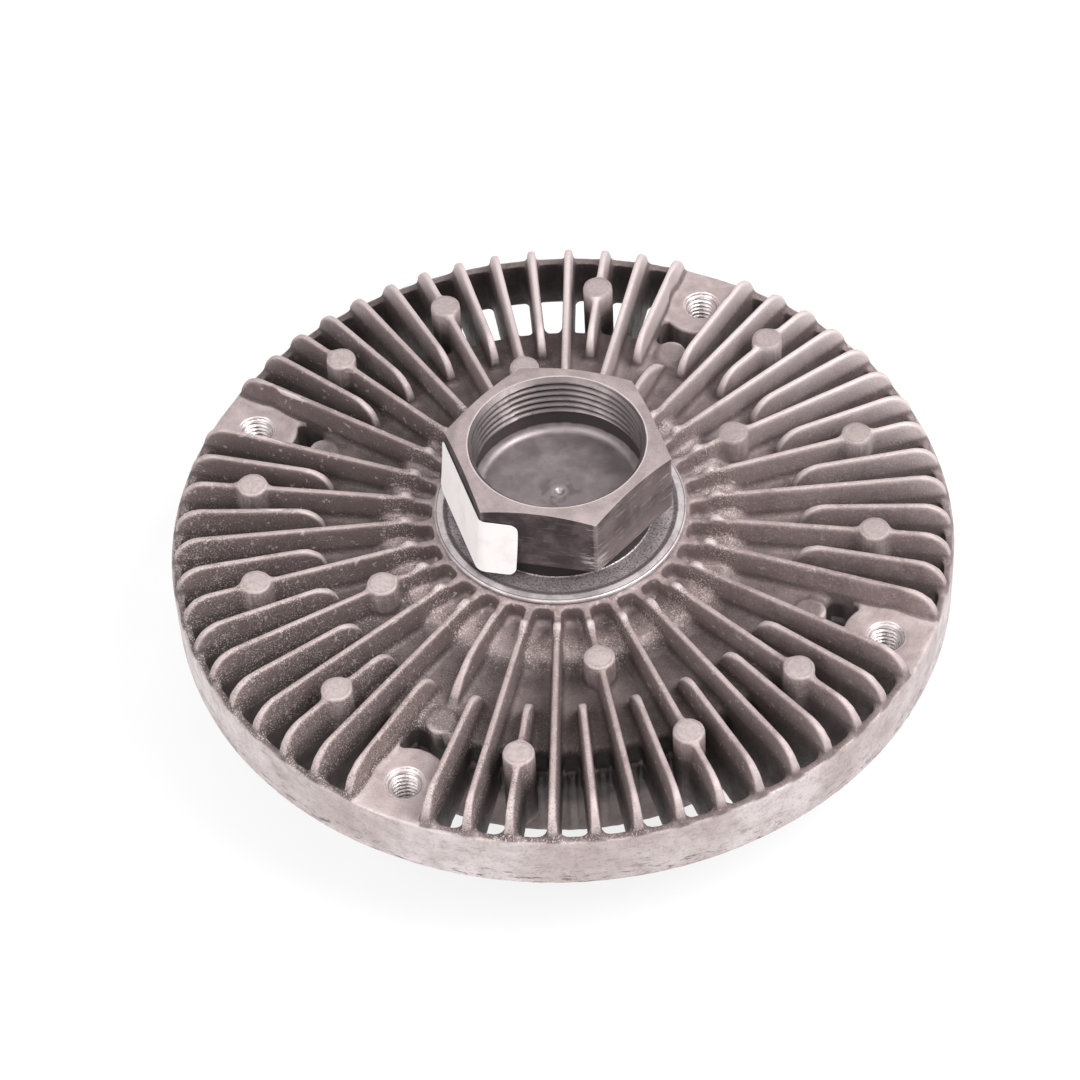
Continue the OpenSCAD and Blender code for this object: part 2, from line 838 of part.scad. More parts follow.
module rotor() {
    hub_wall = 3.2;
    recess_r = rotor_seat_d / 2 + 1.6;
    color([0.72, 0.72, 0.71])
        difference() {
            union() {
                translate([0, 0, rotor_z])
                    cylinder(r = rotor_r, h = web_t);
                translate([0, 0, rotor_z])
                    cylinder(r = rotor_seat_d / 2 + hub_wall, h = bearing_z - rotor_z);
                for (i = [0:land_count - 1])
                    ring(rotor_r - land_t - i * land_pitch, rotor_r - i * land_pitch, rotor_z, web_t + land_h);
            }
            translate([0, 0, rotor_z - 1])
                cylinder(d = rotor_seat_d, h = bearing_z - rotor_z + 2);
            translate([0, 0, rotor_z - 1])
                cylinder(r = recess_r, h = 2);
            for (i = [0:2])
                rotate([0, 0, 120 * i])
                    translate([(collar_r + rotor_seat_d / 2 + hub_wall) / 2, 0, rotor_z - 1])
                        cylinder(d = web_hole_d, h = web_t + 2);
        }
}

rear_housing();
front_cover();
cover_seal();
separator_plate();
valve_leaf();
valve_rivet();
bimetal_strip();
pin_seal();
fill_plug();
bearing_outer_race();
bearing_seal_rear();
bearing_seal_front();
drive_shaft();
dust_shield();
bearing_inner_race();
rotor();
bearing_balls();
cage_half_rear();
cage_half_front();
cage_rivets();
valve_pin();
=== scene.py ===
import math

import bpy
from mathutils import Matrix, Vector, noise as lump_noise


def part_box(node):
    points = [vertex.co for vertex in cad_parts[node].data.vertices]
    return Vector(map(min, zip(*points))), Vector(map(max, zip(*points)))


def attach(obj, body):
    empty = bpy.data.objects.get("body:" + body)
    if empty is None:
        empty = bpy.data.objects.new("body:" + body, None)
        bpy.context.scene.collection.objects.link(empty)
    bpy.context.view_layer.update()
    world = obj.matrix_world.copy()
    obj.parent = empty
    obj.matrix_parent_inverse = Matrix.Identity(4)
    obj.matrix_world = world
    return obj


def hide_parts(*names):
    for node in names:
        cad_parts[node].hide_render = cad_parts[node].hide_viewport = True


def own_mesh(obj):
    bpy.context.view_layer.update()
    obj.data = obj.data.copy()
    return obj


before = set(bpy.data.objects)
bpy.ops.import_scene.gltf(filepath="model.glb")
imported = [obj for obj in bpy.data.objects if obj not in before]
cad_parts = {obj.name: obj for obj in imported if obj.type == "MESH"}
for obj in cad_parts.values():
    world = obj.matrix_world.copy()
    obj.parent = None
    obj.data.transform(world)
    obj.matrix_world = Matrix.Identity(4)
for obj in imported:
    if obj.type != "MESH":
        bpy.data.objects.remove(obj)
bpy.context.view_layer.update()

# Rear housing: one aluminium die casting with the drum, the spoke fins, the rim and four tapped fan pads.
# The copy of its solid is melted a little, so that edges and roots get the soft fillets of a casting,
# and the ring around the collar gets the lumpy skin of metal that froze last.
HOUSING_VOXEL = 0.0004
HOUSING_TRIANGLES = 195000
SOFTEN_ROUNDS = 2
CREST_ROUNDS = 7
ROOT_FILLET = 0.0008
WIDE_FILLET_FROM = 0.061
WIDE_FILLET_TO = 0.064
RIB_REACH = 0.0014
RIB_TOP = 0.0045
CREST_DEPTH = 0.0013
FADE = 0.0008
NARROW_FADE = 0.0006
BEAD_RISE = 0.0006
FIN_RISE = 0.0062
RIM_DEPTH = 0.0115
FLOOR_DROP = 0.0002
DRUM_RADIUS = 0.0518
BOSS_CIRCLE = 0.0574
INNER_BOSS_CIRCLE = 0.0366
BOSS_CLEAR = 0.0030
COLLAR_CLEAR = 0.0246
PAD_CIRCLE = 0.064
PAD_THREAD_ROOT = 0.0031
PAD_DRILL_LENGTH = 0.03
PAD_SEGMENTS = 48
HUB_IN = 0.0240
HUB_OUT = 0.0345
HUB_FADE_IN = 0.0012
HUB_FADE_OUT = 0.0025
LUMP_RISE = 0.00065
LUMP_COARSE = 420
LUMP_FINE = 1100
rim_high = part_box("rear_housing")[1]
fin_top = rim_high.z - BEAD_RISE
rim_top = fin_top - FIN_RISE
rim_front = rim_top - RIM_DEPTH
rim_radius = rim_high.x
drum_floor = rim_top - FLOOR_DROP


def pick(piece):
    """Makes a piece the only selected and the active object."""
    bpy.ops.object.select_all(action="DESELECT")
    piece.select_set(True)
    bpy.context.view_layer.objects.active = piece


def copy_of_solid(node, name):
    """A merged copy of a CAD solid, to be worked on as a new piece."""
    piece = bpy.data.objects.new(name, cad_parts[node].data.copy())
    piece.data.materials.clear()
    bpy.context.scene.collection.objects.link(piece)
    pick(piece)
    bpy.ops.object.mode_set(mode="EDIT")
    bpy.ops.mesh.select_all(action="SELECT")
    bpy.ops.mesh.remove_doubles(threshold=1e-6)
    bpy.ops.object.mode_set(mode="OBJECT")
    return piece


def finish_modifier(piece, kind, **settings):
    """Adds a modifier with its settings and applies it."""
    pick(piece)
    modifier = piece.modifiers.new(kind.title(), kind)
    for name, value in settings.items():
        setattr(modifier, name, value)
    bpy.ops.object.modifier_apply(modifier=modifier.name)


def swell(piece, amount, weigh):
    """Moves the skin along its normals, by a share that depends on the place."""
    group = piece.vertex_groups.new(name="swell")
    for vertex in piece.data.vertices:
        group.add([vertex.index], weigh(vertex.co), "REPLACE")
    finish_modifier(piece, "DISPLACE", strength=amount, mid_level=0.0, vertex_group="swell")
    piece.vertex_groups.clear()


def melt_edges(piece, voxel, rounds, fillet, weigh):
    """Rebuilds a piece on a fine grid with filled roots and softens it."""
    finish_modifier(piece, "REMESH", mode="VOXEL", voxel_size=voxel)
    swell(piece, fillet, weigh)
    finish_modifier(piece, "REMESH", mode="VOXEL", voxel_size=voxel)
    swell(piece, -fillet, weigh)
    finish_modifier(piece, "SMOOTH", factor=0.5, iterations=rounds)


def thin_out(piece, triangles):
    """Thins a piece to a triangle budget and shades it smooth."""
    finish_modifier(piece, "DECIMATE", ratio=min(1.0, triangles / (2 * len(piece.data.polygons))))
    pick(piece)
    bpy.ops.object.shade_smooth()


def ramp(value, low, high):
    """Clamped share of the way from low to high."""
    return min(1.0, max(0.0, (value - low) / (high - low)))


def root_share(spot):
    """Wide fillets by the rim, half as wide by the bosses, and none on the drum's close ribs."""
    reach = math.hypot(spot.x, spot.y)
    clear = max(ramp(reach, DRUM_RADIUS + RIB_REACH, DRUM_RADIUS + RIB_REACH + FADE),
                ramp(spot.z, drum_floor - RIB_TOP, drum_floor - RIB_TOP + FADE))
    return clear * (0.5 + 0.5 * ramp(reach, WIDE_FILLET_FROM, WIDE_FILLET_TO))


# Ejector bosses of one quadrant; the other three mirror it
BOSS_PLACES = ((18, BOSS_CIRCLE), (42, BOSS_CIRCLE), (72, BOSS_CIRCLE), (54, INNER_BOSS_CIRCLE))
BOSSES = [(reach * math.cos(math.radians(angle)), reach * math.sin(math.radians(angle)))
          for angle, reach in BOSS_PLACES]


def crest_share(spot):
    """Crests of the fins, away from the collar and from the bosses, whose tops stay crisp."""
    reach = math.hypot(spot.x, spot.y)
    away = min(math.hypot(abs(spot.x) - x, abs(spot.y) - y) for x, y in BOSSES)
    on_crest = ramp(spot.z, fin_top - CREST_DEPTH, fin_top - CREST_DEPTH + FADE)
    off_boss = ramp(away, BOSS_CLEAR, BOSS_CLEAR + NARROW_FADE)
    return on_crest * off_boss * ramp(reach, COLLAR_CLEAR, COLLAR_CLEAR + NARROW_FADE)


def pad_place(turn):
    """Centre of one fan pad's hole at the rim's top."""
    return Vector((PAD_CIRCLE * math.cos(turn), PAD_CIRCLE * math.sin(turn), rim_top))


housing = copy_of_solid("rear_housing", "housing_casting")
for quarter in range(4):
    bpy.ops.object.select_all(action="DESELECT")
    bpy.ops.mesh.primitive_cylinder_add(vertices=PAD_SEGMENTS, radius=PAD_THREAD_ROOT,
                                        depth=PAD_DRILL_LENGTH, location=pad_place(quarter * math.pi / 2))
    drill = bpy.context.object
    finish_modifier(housing, "BOOLEAN", operation="DIFFERENCE", object=drill, solver="EXACT")
    bpy.data.objects.remove(drill)
melt_edges(housing, HOUSING_VOXEL, SOFTEN_ROUNDS, ROOT_FILLET, root_share)
crests = housing.vertex_groups.new(name="crests")
for vertex in housing.data.vertices:
    crests.add([vertex.index], crest_share(vertex.co), "REPLACE")
finish_modifier(housing, "SMOOTH", factor=0.5, iterations=CREST_ROUNDS, vertex_group="crests")
housing.vertex_groups.clear()
thin_out(housing, HOUSING_TRIANGLES)

for vertex in housing.data.vertices:
    reach = math.hypot(vertex.co.x, vertex.co.y)
    if HUB_IN < reach < HUB_OUT and drum_floor - 0.0003 < vertex.co.z:
        fade = min(1.0, (reach - HUB_IN) / HUB_FADE_IN, (HUB_OUT - reach) / HUB_FADE_OUT)
        lump = (0.7 * lump_noise.noise(vertex.co * LUMP_COARSE)
                + 0.5 * lump_noise.noise(vertex.co * LUMP_FINE))
        crest = 0.55 if vertex.co.z > drum_floor + 0.0035 else 1.0
        vertex.co.z += LUMP_RISE * crest * fade * lump


def blank_material(name):
    """A new material with its node tree and its Principled shader."""
    material = bpy.data.materials.new(name)
    material.use_nodes = True
    return material, material.node_tree, material.node_tree.nodes["Principled BSDF"]


def add_node(tree, kind, **inputs):
    """A shader node whose named inputs are set to values or linked from sockets."""
    node = tree.nodes.new(kind)
    for name, value in inputs.items():
        socket = node.inputs[name.replace("_", " ")]
        if isinstance(value, bpy.types.NodeSocket):
            tree.links.new(value, socket)
        else:
            socket.default_value = value
    return node


def object_coordinates(tree):
    """Place on the piece in metres, in the part's own frame."""
    return add_node(tree, "ShaderNodeTexCoord").outputs["Object"]


def noise(tree, where, scale, detail=4.0, roughness=0.6):
    """Noise value over the piece; scale is in cells per metre."""
    return add_node(tree, "ShaderNodeTexNoise", Vector=where, Scale=scale, Detail=detail,
                    Roughness=roughness).outputs["Fac"]


def between(tree, value, low, high, to_low=0.0, to_high=1.0):
    """Clamped, smooth remap of a value from one range to another."""
    node = tree.nodes.new("ShaderNodeMapRange")
    node.interpolation_type = "SMOOTHSTEP"
    tree.links.new(value, node.inputs["Value"])
    for name, number in (("From Min", low), ("From Max", high), ("To Min", to_low), ("To Max", to_high)):
        node.inputs[name].default_value = number
    return node.outputs["Result"]


def maths(tree, operation, a, b=0.0):
    """One Math node on sockets or numbers."""
    node = tree.nodes.new("ShaderNodeMath")
    node.operation = operation
    for socket, value in zip(node.inputs, (a, b)):
        if isinstance(value, bpy.types.NodeSocket):
            tree.links.new(value, socket)
        else:
            socket.default_value = value
    return node.outputs["Value"]


def times(tree, first, *others):
    """Product of several masks."""
    for other in others:
        first = maths(tree, "MULTIPLY", first, other)
    return first


def paint(tree, mask, under, over):
    """Lays a colour over another where the mask is 1."""
    node = tree.nodes.new("ShaderNodeMix")
    node.data_type = "RGBA"
    for socket, value in ((node.inputs[0], mask), (node.inputs[6], under), (node.inputs[7], over)):
        if isinstance(value, bpy.types.NodeSocket):
            tree.links.new(value, socket)
        else:
            socket.default_value = (*value, 1.0)
    return node.outputs[2]


def bump(tree, height, distance, strength, under=None):
    """Bump from a height value; distance is in metres."""
    node = add_node(tree, "ShaderNodeBump", Height=height, Distance=distance, Strength=strength)
    if under is not None:
        tree.links.new(under, node.inputs["Normal"])
    return node.outputs["Normal"]


def length_of(tree, a, b):
    """Length of the step that goes a one way and b square to it."""
    squares = maths(tree, "ADD", maths(tree, "MULTIPLY", a, a), maths(tree, "MULTIPLY", b, b))
    return maths(tree, "SQRT", squares)


def along(tree, parts, degrees):
    """Distance from the axis along one direction in plan."""
    turn = math.radians(degrees)
    return maths(tree, "ADD", maths(tree, "MULTIPLY", parts.outputs["X"], math.cos(turn)),
                 maths(tree, "MULTIPLY", parts.outputs["Y"], math.sin(turn)))


SOOTY_SIDE = 245
PALE_SIDE = 90
LESS_DARK_SIDE = 298
GRITTY_SIDE = 252
NOOK_REACH = 0.011
NOOK_SAMPLES = 6
CAST_DULL = (0.235, 0.178, 0.175)
CAST_CLEAN = (0.335, 0.265, 0.262)
CAST_STAIN = (0.15, 0.112, 0.109)
CAST_GRAIN = (0.44, 0.365, 0.36)
CAST_PALE = (0.58, 0.50, 0.495)
FLANK_SOOT_AND_SHADE = (0.112, 0.080, 0.077)
FLOOR_SOOT_AND_SHADE = (0.07, 0.053, 0.051)
DRUM_WALL_DIRT_AND_SHADE = (0.032, 0.025, 0.024)
RIM_WALL_SOOT_AND_SHADE = (0.042, 0.032, 0.031)
RUBBED_EDGE_AND_HIGHLIGHT = (0.52, 0.44, 0.435)
NOOK_DIRT_AND_SHADE = (0.062, 0.045, 0.043)
PALE_CHIP = (0.42, 0.355, 0.35)
PALE_GRIT = (0.55, 0.47, 0.44)
DARK_GRIT = (0.07, 0.053, 0.05)
BOSS_LIGHT = (0.41, 0.345, 0.34)
BOSS_DARK = (0.31, 0.255, 0.25)
BOSS_RING = (0.25, 0.195, 0.19)
BOSS_DULL = (0.17, 0.135, 0.13)
PAD_LIGHT = (0.46, 0.385, 0.38)
PAD_DARK = (0.33, 0.265, 0.26)
RIM_DULL = (0.40, 0.333, 0.325)
RIM_PAINTED_SHEEN = (0.60, 0.54, 0.54)
RIM_STAIN = (0.29, 0.232, 0.222)
RIM_PIT = (0.19, 0.15, 0.145)
RIM_SCUFF = (0.13, 0.098, 0.095)


def cast_aluminium():
    """Dull pinkish taupe casting with baked soiling and painted shade, grit, worn edges with painted
    highlights, and machined rim with a painted sheen, pads and bosses.
    """
    material, tree, shader = blank_material("cast_aluminium_dirt_and_shade")
    where = object_coordinates(tree)
    parts = add_node(tree, "ShaderNodeSeparateXYZ", Vector=where)
    height = parts.outputs["Z"]
    radius = length_of(tree, parts.outputs["X"], parts.outputs["Y"])
    wide = maths(tree, "ABSOLUTE", parts.outputs["X"])
    deep = maths(tree, "ABSOLUTE", parts.outputs["Y"])
    cloud = noise(tree, where, 42.0, 5.0)
    patch = noise(tree, where, 250.0, 6.0, 0.65)
    grain = noise(tree, where, 1500.0, 4.0, 0.75)
    dust = noise(tree, where, 3400.0, 2.0, 0.6)
    faces = add_node(tree, "ShaderNodeNewGeometry")
    sharp = faces.outputs["Pointiness"]
    slope = add_node(tree, "ShaderNodeSeparateXYZ", Vector=faces.outputs["Normal"]).outputs["Z"]
    nooks = add_node(tree, "ShaderNodeAmbientOcclusion", Distance=NOOK_REACH)
    nooks.samples = NOOK_SAMPLES
    shelter = nooks.outputs["AO"]
    colour = paint(tree, between(tree, cloud, 0.35, 0.65), CAST_DULL, CAST_CLEAN)
    colour = paint(tree, between(tree, patch, 0.46, 0.7, 0.0, 0.75), colour, CAST_STAIN)
    colour = paint(tree, between(tree, grain, 0.5, 0.68, 0.0, 0.6), colour, CAST_GRAIN)
    # Distance from the nearest ejector boss, folded into one quadrant
    boss = None
    for x, y in BOSSES:
        away = length_of(tree, maths(tree, "SUBTRACT", wide, x), maths(tree, "SUBTRACT", deep, y))
        boss = away if boss is None else maths(tree, "MINIMUM", boss, away)
    # The side away from the soot is pale
    pale = times(tree, between(tree, along(tree, parts, PALE_SIDE), 0.015, 0.055),
                 between(tree, shelter, 0.15, 0.55),
                 between(tree, height, drum_floor + 0.001, drum_floor + 0.003), 0.85)
    colour = paint(tree, pale, colour, CAST_PALE)
    # Darker on one side, on the fins' flanks and the drum's floor, partly baked soot and partly painted
    # shade, and less so towards a second side; the drum's wall and the rim's inner wall are black all
    # round, partly soot and partly painted shade
    sooty = between(tree, along(tree, parts, SOOTY_SIDE), -0.045, 0.045)
    upright = between(tree, maths(tree, "ABSOLUTE", slope), 0.75, 0.35)
    less_dark_share = between(tree, along(tree, parts, LESS_DARK_SIDE), 0.022, 0.048, 1.0, 0.66)
    flank_soot_and_shade = times(tree, upright, between(tree, sooty, 0.0, 0.8, 0.25, 0.8),
                     between(tree, boss, 0.0029, 0.0034, 0.3, 1.0),
                     between(tree, pale, 0.1, 0.5, 1.0, 0.3), less_dark_share)
    ragged = maths(tree, "ADD", radius, times(tree, patch, 0.006))
    # The drum's floor between the fins is darkened, partly soot and partly painted shade
    floor_soot_and_shade = times(tree, less_dark_share, between(tree, height, drum_floor + 0.0022, drum_floor + 0.0012),
                     between(tree, ragged, 0.0345, 0.0375, 0.55, 1.0),
                     between(tree, patch, 0.3, 0.6, 0.7, 0.95),
                     between(tree, sooty, 0.0, 0.6, 0.55, 1.0))
    # The drum's outer wall below its floor is painted near black, partly oil and partly painted shade
    under = times(tree, between(tree, height, drum_floor - 0.0005, drum_floor - 0.0015),
                  between(tree, radius, DRUM_RADIUS + 0.0035, DRUM_RADIUS + 0.002),
                  between(tree, height, rim_front - 0.004, rim_front - 0.0005))
    # The rim's inner wall is darkened, partly soot and partly painted shade
    rim_wall_soot_and_shade = times(tree, upright, between(tree, radius, rim_radius - 0.0028, rim_radius - 0.0021),
                     between(tree, radius, rim_radius - 0.0008, rim_radius - 0.0014),
                     between(tree, height, rim_top + 0.0002, rim_top - 0.0004))
    colour = paint(tree, flank_soot_and_shade, colour, FLANK_SOOT_AND_SHADE)
    colour = paint(tree, floor_soot_and_shade, colour, FLOOR_SOOT_AND_SHADE)
    colour = paint(tree, times(tree, under, 0.95), colour, DRUM_WALL_DIRT_AND_SHADE)
    colour = paint(tree, times(tree, rim_wall_soot_and_shade, 0.85), colour, RIM_WALL_SOOT_AND_SHADE)
    # Edges are worn pale and get a painted highlight, and the ends of the drum's ribs get a painted
    # highlight; the nooks are darkened, partly soiled and partly painted shade
    worn_and_highlit = times(tree, between(tree, sharp, 0.508, 0.56, 0.0, 0.85),
                   between(tree, boss, 0.0026, 0.0034, 0.3, 1.0),
                   between(tree, height, drum_floor - 0.0072, drum_floor - 0.0056, 0.1, 1.0))
    rib_end_highlight = times(tree, between(tree, radius, DRUM_RADIUS + 0.0002, DRUM_RADIUS + 0.0004), under,
                    between(tree, height, drum_floor - 0.0066, drum_floor - 0.0054),
                    between(tree, height, drum_floor - 0.0044, drum_floor - 0.0048))
    colour = paint(tree, maths(tree, "MAXIMUM", worn_and_highlit, times(tree, rib_end_highlight, 0.6)), colour, RUBBED_EDGE_AND_HIGHLIGHT)
    # Painted shade in the nooks, following occlusion, mixed with soiling
    nook_dirt_and_shade = times(tree, between(tree, shelter, 0.6, 0.1), between(tree, patch, 0.2, 0.6, 0.6, 1.0),
                 between(tree, sooty, 0.0, 1.0, 0.3, 0.6))
    colour = paint(tree, nook_dirt_and_shade, colour, NOOK_DIRT_AND_SHADE)
    # Pale chips lie on the sooty side; grit lies thickest near its rim and on the hub ring
    fleck = noise(tree, where, 800.0, 2.0, 0.6)
    chips = times(tree, between(tree, fleck, 0.645, 0.675), between(tree, sooty, 0.2, 0.7, 0.35, 0.75),
                  between(tree, height, drum_floor + 0.0008, drum_floor + 0.0015))
    colour = paint(tree, chips, colour, PALE_CHIP)
    on_hub = times(tree, between(tree, radius, 0.036, 0.031), between(tree, radius, 0.0262, 0.0278))
    gritty = between(tree, along(tree, parts, GRITTY_SIDE), 0.028, 0.056, 0.15, 1.0)
    gritty = times(tree, maths(tree, "MAXIMUM", gritty, on_hub), between(tree, patch, 0.3, 0.62, 0.25, 1.0),
                   between(tree, height, drum_floor - 0.0012, drum_floor - 0.0006))
    colour = paint(tree, times(tree, between(tree, dust, 0.545, 0.635), gritty, 0.85), colour, PALE_GRIT)
    colour = paint(tree, times(tree, between(tree, dust, 0.42, 0.34), gritty, 0.8), colour, DARK_GRIT)
    # Boss tops with a faint ring mark
    on_boss = times(tree, between(tree, height, fin_top - 0.0003, fin_top + 0.0001),
                    between(tree, boss, 0.0029, 0.0027))
    boss_tone = paint(tree, between(tree, grain, 0.35, 0.7), BOSS_LIGHT, BOSS_DARK)
    ring_mark = times(tree, between(tree, boss, 0.0020, 0.0022), between(tree, boss, 0.0025, 0.0023))
    ring_mark = times(tree, ring_mark, between(tree, patch, 0.35, 0.6), 0.7)
    boss_tone = paint(tree, ring_mark, boss_tone, BOSS_RING)
    boss_tone = paint(tree, between(tree, sooty, 0.0, 1.0, 0.3, 0.0), boss_tone, BOSS_DULL)
    colour = paint(tree, on_boss, colour, boss_tone)
    # Spot-faced pads and the turned rim
    far = maths(tree, "MAXIMUM", wide, deep)
    near = maths(tree, "MINIMUM", wide, deep)
    on_pad = times(tree, between(tree, near, 0.0068, 0.0064), between(tree, far, 0.0556, 0.0562),
                   between(tree, height, rim_top - 0.0007, rim_top - 0.0004),
                   between(tree, height, rim_top + 0.0006, rim_top + 0.0003))
    pad_tone = paint(tree, between(tree, patch, 0.35, 0.7), PAD_LIGHT, PAD_DARK)
    colour = paint(tree, times(tree, on_pad, 0.8), colour, pad_tone)
    on_rim = times(tree, between(tree, radius, rim_radius - 0.0006, rim_radius - 0.0004),
                   between(tree, height, rim_top + 0.0002, rim_top - 0.0003))
    # The rim's lighter cloud patches are a painted sheen
    rim_tone = paint(tree, between(tree, cloud, 0.35, 0.65), RIM_DULL, RIM_PAINTED_SHEEN)
    rim_tone = paint(tree, between(tree, patch, 0.42, 0.7, 0.0, 0.5), rim_tone, RIM_STAIN)
    rim_tone = paint(tree, between(tree, grain, 0.46, 0.36, 0.0, 0.45), rim_tone, RIM_PIT)
    flattened = add_node(tree, "ShaderNodeMapping", Vector=where, Scale=(0.35, 0.35, 1.6)).outputs["Vector"]
    scuff = noise(tree, flattened, 900.0, 5.0, 0.7)
    scuffed = times(tree, between(tree, scuff, 0.54, 0.63),
                    between(tree, height, rim_front + 0.006, rim_front + 0.001, 0.25, 0.9))
    rim_tone = paint(tree, scuffed, rim_tone, RIM_SCUFF)
    colour = paint(tree, on_rim, colour, rim_tone)
    tree.links.new(colour, shader.inputs["Base Color"])
    tree.links.new(between(tree, on_rim, 0.0, 1.0, 0.3, 0.5), shader.inputs["Metallic"])
    dull = between(tree, patch, 0.3, 0.7, 0.5, 0.68)
    tree.links.new(maths(tree, "SUBTRACT", dull, times(tree, on_rim, 0.14)), shader.inputs["Roughness"])
    normal = bump(tree, dust, 0.00018, 0.55)
    normal = bump(tree, grain, 0.0003, 0.4, normal)
    tree.links.new(bump(tree, patch, 0.0006, 0.3, normal), shader.inputs["Normal"])
    return material


housing.data.materials.append(cast_aluminium())
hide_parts("rear_housing")
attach(housing, "housing")

# Pad threads: the bright M6 threads cut in the four pads, each with a countersunk mouth.
# They are machined in the casting after it leaves the die, so they shine where the rest is dull.
PAD_THREAD_CREST = 0.0025
PAD_THREAD_PITCH = 0.001
PAD_MOUTH = 0.0036
PAD_MOUTH_DEPTH = 0.0009
PAD_SPOT = 0.00015
PAD_THREAD_TONE = (0.62, 0.56, 0.555)
STEPS_PER_TURN = 10


def threaded_sleeve(name, crest, root, pitch, low, high, mouth, wall, segments):
    """A closed ring with a helical thread inside and a conical mouth, on the Z axis."""
    levels = round((high - low) / (pitch / STEPS_PER_TURN))
    bpy.ops.object.select_all(action="DESELECT")
    bpy.ops.mesh.primitive_grid_add(x_subdivisions=segments, y_subdivisions=levels + 3, size=1.0)
    piece = bpy.context.object
    piece.name = name
    for vertex in piece.data.vertices:
        angle = (vertex.co.x + 0.5) * 2 * math.pi
        row = round((vertex.co.y + 0.5) * (levels + 3))
        z = low + (high - low) * min(row, levels) / levels
        if row > levels + 1:
            z = low
        phase = (z / pitch - angle / (2 * math.pi)) % 1.0
        ridge = min(1.0, max(0.0, 2.6 * (0.5 - abs(phase - 0.5)) - 0.15))
        radius = max(root - (root - crest) * ridge, mouth - (high - z))
        if row in (levels + 1, levels + 2):
            radius = wall
        vertex.co = (radius * math.cos(angle), radius * math.sin(angle), z)
    bpy.ops.object.mode_set(mode="EDIT")
    bpy.ops.mesh.select_all(action="SELECT")
    bpy.ops.mesh.remove_doubles(threshold=1e-7)
    bpy.ops.mesh.normals_make_consistent(inside=False)
    bpy.ops.object.mode_set(mode="OBJECT")
    bpy.ops.object.shade_smooth_by_angle(angle=math.radians(40))
    return piece


def cut_thread(name, tone, crest, root, mouth_low, on_pads):
    """Cut thread, bright on the crests and dark in the roots with soiling and painted shade."""
    material, tree, shader = blank_material(name)
    where = object_coordinates(tree)
    parts = add_node(tree, "ShaderNodeSeparateXYZ", Vector=where)
    across, beside = parts.outputs["X"], parts.outputs["Y"]
    if on_pads:
        wide = maths(tree, "ABSOLUTE", across)
        deep = maths(tree, "ABSOLUTE", beside)
        across = maths(tree, "SUBTRACT", maths(tree, "MAXIMUM", wide, deep), PAD_CIRCLE)
        beside = maths(tree, "MINIMUM", wide, deep)
    radius = length_of(tree, across, beside)
    patch = noise(tree, where, 500.0)
    # The roots are darkened as painted shade, with patches of soiling
    in_root = between(tree, radius, crest + 0.25 * (root - crest), root, 0.0, 0.92)
    grime_and_root_shade = maths(tree, "MAXIMUM", in_root, between(tree, patch, 0.55, 0.75, 0.0, 0.6))
    grime_and_root_shade = times(tree, grime_and_root_shade, between(tree, parts.outputs["Z"], mouth_low + 0.0002, mouth_low))
    colour = paint(tree, grime_and_root_shade, tone, tuple(0.18 * part for part in tone))
    tree.links.new(colour, shader.inputs["Base Color"])
    shader.inputs["Metallic"].default_value = 0.8
    tree.links.new(between(tree, patch, 0.3, 0.7, 0.34, 0.5), shader.inputs["Roughness"])
    tree.links.new(bump(tree, noise(tree, where, 4000.0), 0.00005, 0.3), shader.inputs["Normal"])
    return material


pad_thread_metal = cut_thread("pad_thread_bright", PAD_THREAD_TONE, PAD_THREAD_CREST, PAD_THREAD_ROOT,
                              rim_top - PAD_MOUTH_DEPTH, True)
for quarter in range(4):
    sleeve = threaded_sleeve(f"pad_thread_{quarter}", PAD_THREAD_CREST, PAD_THREAD_ROOT - 0.0001,
                             PAD_THREAD_PITCH, rim_front + 0.0001, rim_top - PAD_SPOT - 0.00005, PAD_MOUTH,
                             PAD_MOUTH + 0.0001, PAD_SEGMENTS)
    place = pad_place(quarter * math.pi / 2)
    sleeve.data.transform(Matrix.Translation((place.x, place.y, 0)))
    sleeve.data.materials.append(pad_thread_metal)
    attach(sleeve, "housing")

# Front cover: the second casting, finned like the first, which closes the drum and holds the valve.
# The drum's lip is rolled over its flange all round, and it has the housing's own skin of soiling and
# painted shade.
COVER_VOXEL = 0.0005
COVER_FILLET = 0.0004
COVER_TRIANGLES = 90000
cover = copy_of_solid("front_cover", "cover_casting")
melt_edges(cover, COVER_VOXEL, SOFTEN_ROUNDS, COVER_FILLET, lambda spot: 1.0)
thin_out(cover, COVER_TRIANGLES)
for vertex in cover.data.vertices:
    vertex.co.z = max(vertex.co.z, 0.0)
cover.data.materials.append(housing.data.materials[0])
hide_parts("front_cover")
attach(cover, "housing")

# Bimetal strip: a rolled two-metal strip in the cover's claws. Cold, it bows inward and holds the pin in;
# hot, it goes flat and lets the pin out.
STRIP_BEVEL = 0.00015
STRIP_TONE = (0.50, 0.43, 0.36)
FLAT_WITHIN = math.radians(0.3)
SMOOTH_BELOW = math.radians(50)
strip = copy_of_solid("bimetal_strip", "bimetal_strip_bowed")


def soften_edges(piece, width, segments=2, angle=30):
    """Joins flat faces and bevels the sharp edges of a copied solid."""
    pick(piece)
    bpy.ops.object.mode_set(mode="EDIT")
    bpy.ops.mesh.select_all(action="SELECT")
    bpy.ops.mesh.dissolve_limited(angle_limit=FLAT_WITHIN)
    bpy.ops.object.mode_set(mode="OBJECT")
    finish_modifier(piece, "BEVEL", width=width, segments=segments, limit_method="ANGLE",
                    angle_limit=math.radians(angle))
    pick(piece)
    bpy.ops.object.shade_smooth_by_angle(angle=SMOOTH_BELOW)
    finish_modifier(piece, "WEIGHTED_NORMAL", mode="FACE_AREA", keep_sharp=True)


